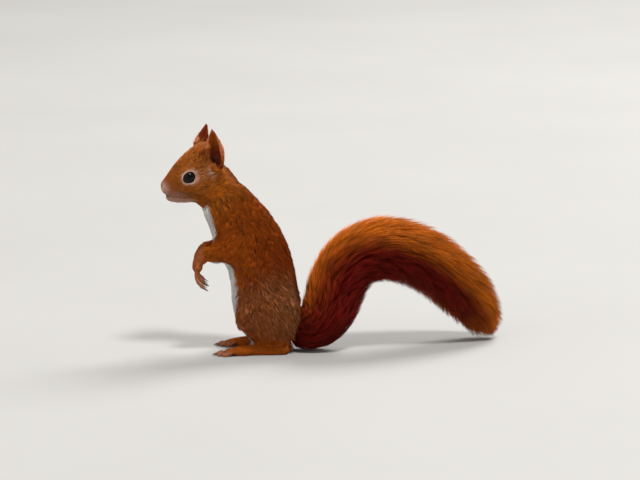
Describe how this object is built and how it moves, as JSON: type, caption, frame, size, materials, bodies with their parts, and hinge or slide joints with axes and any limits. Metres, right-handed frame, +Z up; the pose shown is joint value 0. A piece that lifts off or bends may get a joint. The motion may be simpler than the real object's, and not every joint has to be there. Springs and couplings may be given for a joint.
{
  "type": "red squirrel, life-size still model",
  "caption": "Red squirrel sitting upright on its haunches, hands held before the chest, bushy tail arched behind it and resting on the ground; a still, life-size animal model.",
  "frame": {"origin": "on the ground, under the middle of the model's bounding box", "axes": "+Z up; the squirrel faces -X with its left side to -Y, and its tail runs back along +X, swinging to +Y"},
  "size_m": [0.2722, 0.1026, 0.1766],
  "materials": {
    "coat_red": "dense short fur, red-brown, white on the throat and belly",
    "coat_tail": "long loose fur, red above and dark maroon beneath",
    "ear_skin": "thin skin with very short dark red fur",
    "paw_skin": "short orange-buff fur over skin",
    "nose_skin": "bare moist skin",
    "eye_gloss": "wet, mirror-smooth",
    "claw_horn": "satin horn"
  },
  "bodies": {
    "root": {"ear_left": "ear_skin", "ear_right": "ear_skin", "eye_left": "eye_gloss", "eye_right": "eye_gloss", "finger_claw_left_1": "claw_horn", "finger_claw_left_2": "claw_horn", "finger_claw_left_3": "claw_horn", "finger_claw_left_4": "claw_horn", "finger_claw_right_1": "claw_horn", "finger_claw_right_2": "claw_horn", "finger_claw_right_3": "claw_horn", "finger_claw_right_4": "claw_horn", "foot_left": "paw_skin", "foot_right": "paw_skin", "forearm_left": "coat_red", "forearm_right": "coat_red", "hand_left": "paw_skin", "hand_right": "paw_skin", "head": "coat_red", "neck": "coat_red", "nose": "nose_skin", "shank_left": "coat_red", "shank_right": "coat_red", "tail_arch": "coat_tail", "tail_rise": "coat_tail", "tail_root": "coat_tail", "tail_tip": "coat_tail", "thigh_left": "coat_red", "thigh_right": "coat_red", "toe_claw_left_1": "claw_horn", "toe_claw_left_2": "claw_horn", "toe_claw_left_3": "claw_horn", "toe_claw_left_4": "claw_horn", "toe_claw_left_5": "claw_horn", "toe_claw_right_1": "claw_horn", "toe_claw_right_2": "claw_horn", "toe_claw_right_3": "claw_horn", "toe_claw_right_4": "claw_horn", "toe_claw_right_5": "claw_horn", "trunk": "coat_red", "upper_arm_left": "coat_red", "upper_arm_right": "coat_red"}
  },
  "joints": []
}
